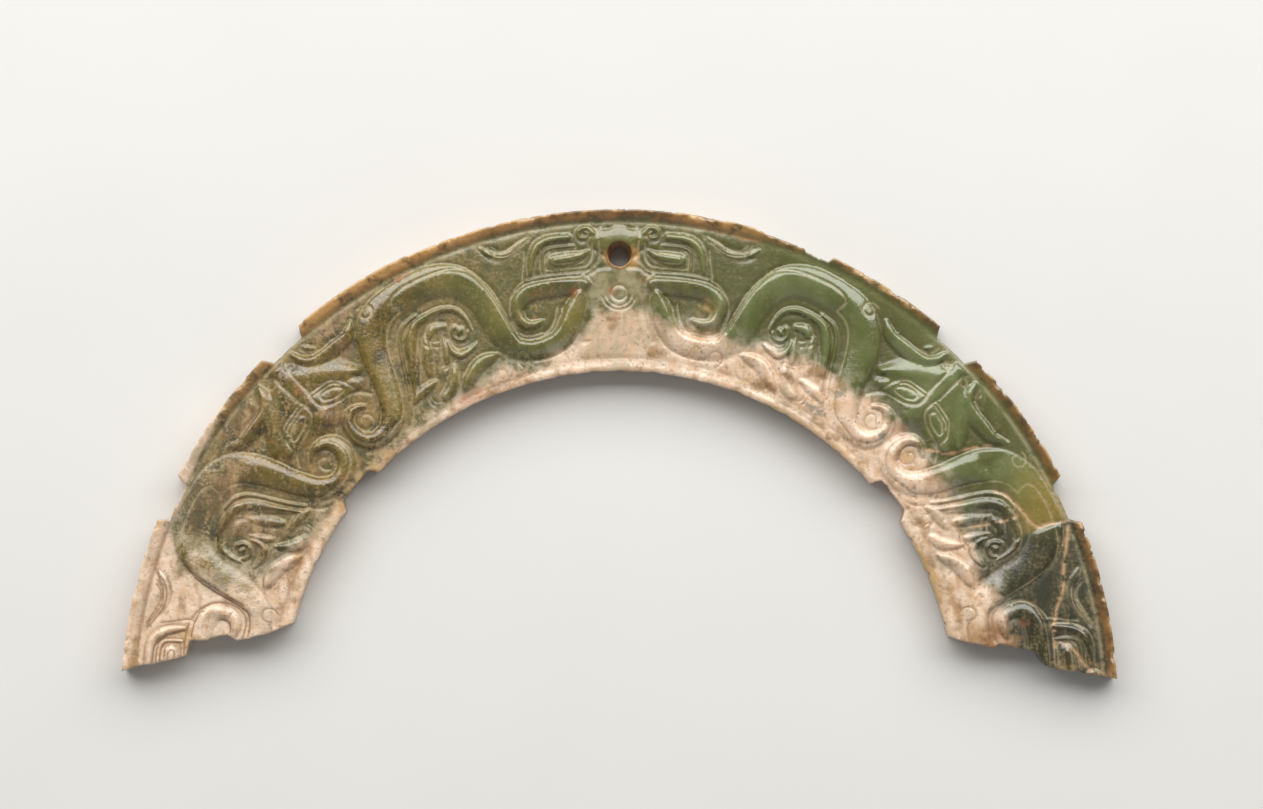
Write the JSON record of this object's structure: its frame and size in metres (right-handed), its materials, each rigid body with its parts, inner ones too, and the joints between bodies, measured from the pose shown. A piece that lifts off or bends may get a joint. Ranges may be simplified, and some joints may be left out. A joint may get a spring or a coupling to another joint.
{
  "type": "jade arc pendant",
  "caption": "Flat arched plaque of carved nephrite with interlaced scroll relief, notched rims and a drilled suspension hole.",
  "frame": {"origin": "on the underside, at the middle of the outline's box", "axes": "+X to the viewer's right along the arch's span, +Y to the crown of the arch, +Z out of the carved front"},
  "size_m": [0.1198, 0.0566, 0.0046],
  "materials": {
    "nephrite": "polished dark green nephrite, cream where altered"
  },
  "bodies": {
    "root": {"arc_pendant": "nephrite"}
  },
  "joints": []
}
